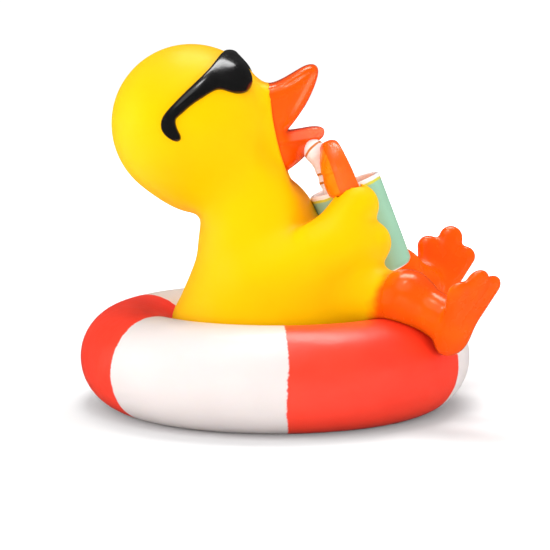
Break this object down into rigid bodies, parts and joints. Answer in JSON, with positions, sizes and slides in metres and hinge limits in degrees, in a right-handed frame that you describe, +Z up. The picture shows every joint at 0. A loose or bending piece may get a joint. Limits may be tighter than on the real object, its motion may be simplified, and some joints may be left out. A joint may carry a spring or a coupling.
{
  "type": "floating chlorine dispenser",
  "caption": "Toy-duck pool float with a swim ring, a hidden tablet chamber under the body, a drop-out basket, a bayonet cap and a turning vent dial.",
  "frame": {"origin": "centre of the swim ring, on the plane that the ring rests on", "axes": "+X the way the duck faces and the feet point, +Y to the duck's left, +Z up"},
  "size_m": [0.224, 0.214, 0.1968],
  "materials": {
    "ring_vinyl": "satin soft vinyl, painted in red and white bands",
    "clear_plug": "translucent soft plug",
    "yellow_vinyl": "satin soft vinyl",
    "orange_vinyl": "glossy soft vinyl",
    "black_gloss": "glossy black",
    "mint_vinyl": "satin mint paint with a white rim",
    "beige_vinyl": "satin beige",
    "white_vinyl": "satin white with thin orange stripes",
    "peel_vinyl": "satin orange peel",
    "flesh_vinyl": "satin light orange",
    "white_mould": "fine moulded white plastic",
    "seal_rubber": "moulded black rubber",
    "stainless": "brushed stainless steel",
    "tablet_cake": "pressed chalky cake",
    "blue_mould": "fine moulded blue plastic"
  },
  "bodies": {
    "float": {"ring_shell": "ring_vinyl", "ring_plug": "clear_plug", "duck_shell": "yellow_vinyl", "beak": "orange_vinyl", "sunglasses_frame": "black_gloss", "lens_left": "black_gloss", "lens_right": "black_gloss", "foot_left": "orange_vinyl", "foot_right": "orange_vinyl", "cup": "mint_vinyl", "cup_drink": "beige_vinyl", "straw": "white_vinyl", "citrus_rind": "peel_vinyl", "citrus_flesh": "flesh_vinyl", "base_ring": "white_mould", "canister": "white_mould", "flange_gasket": "seal_rubber", "clamp_collar": "white_mould", "flange_screws": "stainless"},
    "basket": {"basket": "white_mould"},
    "cap": {"base_cap": "white_mould", "dial_pivot": "stainless", "pivot_clip": "stainless", "dial_washer": "stainless"},
    "dial": {"flow_dial": "blue_mould"},
    "tablets": {"tablet_lower": "tablet_cake", "tablet_upper": "tablet_cake"}
  },
  "joints": [
    {"name": "basket_drop", "type": "slide", "parent": "float", "child": "basket", "axis": [0, 0, -1], "range_m": [0, 0.08]},
    {"name": "cap_twist", "type": "hinge", "parent": "basket", "child": "cap", "pos_m": [0, 0, 0.0055], "axis": [0, 0, 1], "range_deg": [0, 45]},
    {"name": "dial_turn", "type": "hinge", "parent": "cap", "child": "dial", "pos_m": [0, 0, 0.0034], "axis": [0, 0, 1], "range_deg": [0, 30]},
    {"name": "tablet_lift", "type": "slide", "parent": "basket", "child": "tablets", "axis": [0, 0, 1], "range_m": [0, 0.002]}
  ]
}
